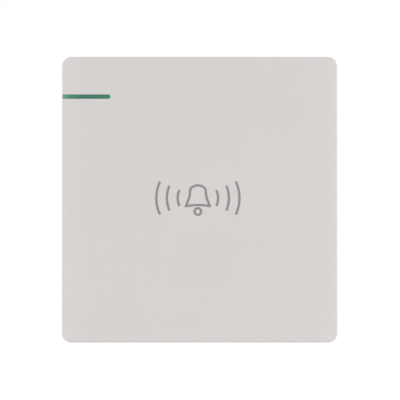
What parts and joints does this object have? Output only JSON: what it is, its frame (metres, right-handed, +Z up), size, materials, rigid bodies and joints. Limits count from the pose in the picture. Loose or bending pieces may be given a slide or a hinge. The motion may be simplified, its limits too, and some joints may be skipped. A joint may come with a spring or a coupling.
{
  "type": "doorbell push",
  "caption": "Flush wall doorbell push: a full-size tilting press plate with a bell sign and a green light bar over a frame, steel grid and boxed contact mechanism.",
  "frame": {"origin": "middle of the surround frame's back face, in the plane of the wall", "axes": "+Z up, +X to the right seen from the front, +Y into the wall; the press plate faces -Y"},
  "size_m": [0.086, 0.0367, 0.0892],
  "materials": {
    "plate_plastic": "satin moulded polycarbonate",
    "green_light_guide": "clear green moulded light guide",
    "grey_ink": "pad-printed ink",
    "soft_pad": "soft silicone",
    "frame_plastic": "fine moulded",
    "galvanised_steel": "zinc coated sheet",
    "screw_steel": "zinc plated",
    "housing_plastic": "moulded",
    "cover_plastic": "moulded",
    "plunger_plastic": "smooth acetal",
    "spring_steel": "drawn wire",
    "copper_alloy": "stamped bronze",
    "silver": "polished",
    "brass": "machined",
    "circuit_board": "solder mask",
    "white_reflector": "smooth",
    "lamp_body": "clear resin",
    "dark_component": "moulded",
    "red_lead": "insulation",
    "black_lead": "insulation"
  },
  "bodies": {
    "frame": {"surround_frame": "frame_plastic", "support_grid": "galvanised_steel", "fixing_screws": "screw_steel", "grid_screws": "screw_steel", "mechanism_housing": "housing_plastic", "mechanism_cover": "cover_plastic", "cover_screws": "screw_steel", "return_spring": "spring_steel", "fixed_contact_tips": "silver", "fixed_contact_left": "copper_alloy", "fixed_contact_right": "copper_alloy", "terminal_cage_left": "brass", "terminal_cage_right": "brass", "terminal_clamps": "screw_steel", "terminal_screws": "screw_steel", "led_board": "circuit_board", "light_box": "white_reflector", "green_leds": "lamp_body", "led_resistor": "dark_component", "rectifier_diode": "dark_component", "board_screws": "screw_steel", "led_lead_left": "red_lead", "led_lead_right": "black_lead"},
    "dolly": {"dolly_plate": "plate_plastic", "light_bar": "green_light_guide", "bell_symbol": "grey_ink", "dolly_bumpers": "soft_pad"},
    "plunger": {"plunger": "plunger_plastic", "contact_bridge": "copper_alloy", "moving_contact_tips": "silver", "contact_spring": "spring_steel"}
  },
  "joints": [
    {"name": "dolly_press", "type": "hinge", "parent": "frame", "child": "dolly", "pos_m": [0, -0.005, 0.03845], "axis": [1, 0, 0], "range_deg": [0, 1.7], "stiffness_Nm_per_rad": 2.3359, "springref_deg": -1.13},
    {"name": "plunger_slide", "type": "slide", "parent": "frame", "child": "plunger", "axis": [0, 1, 0], "range_m": [0, 0.00115], "deforming": ["return_spring"]}
  ],
  "couplings": [
    {"joint": "plunger_slide", "follows": "dolly_press", "m_per_rad": 0.03845}
  ]
}
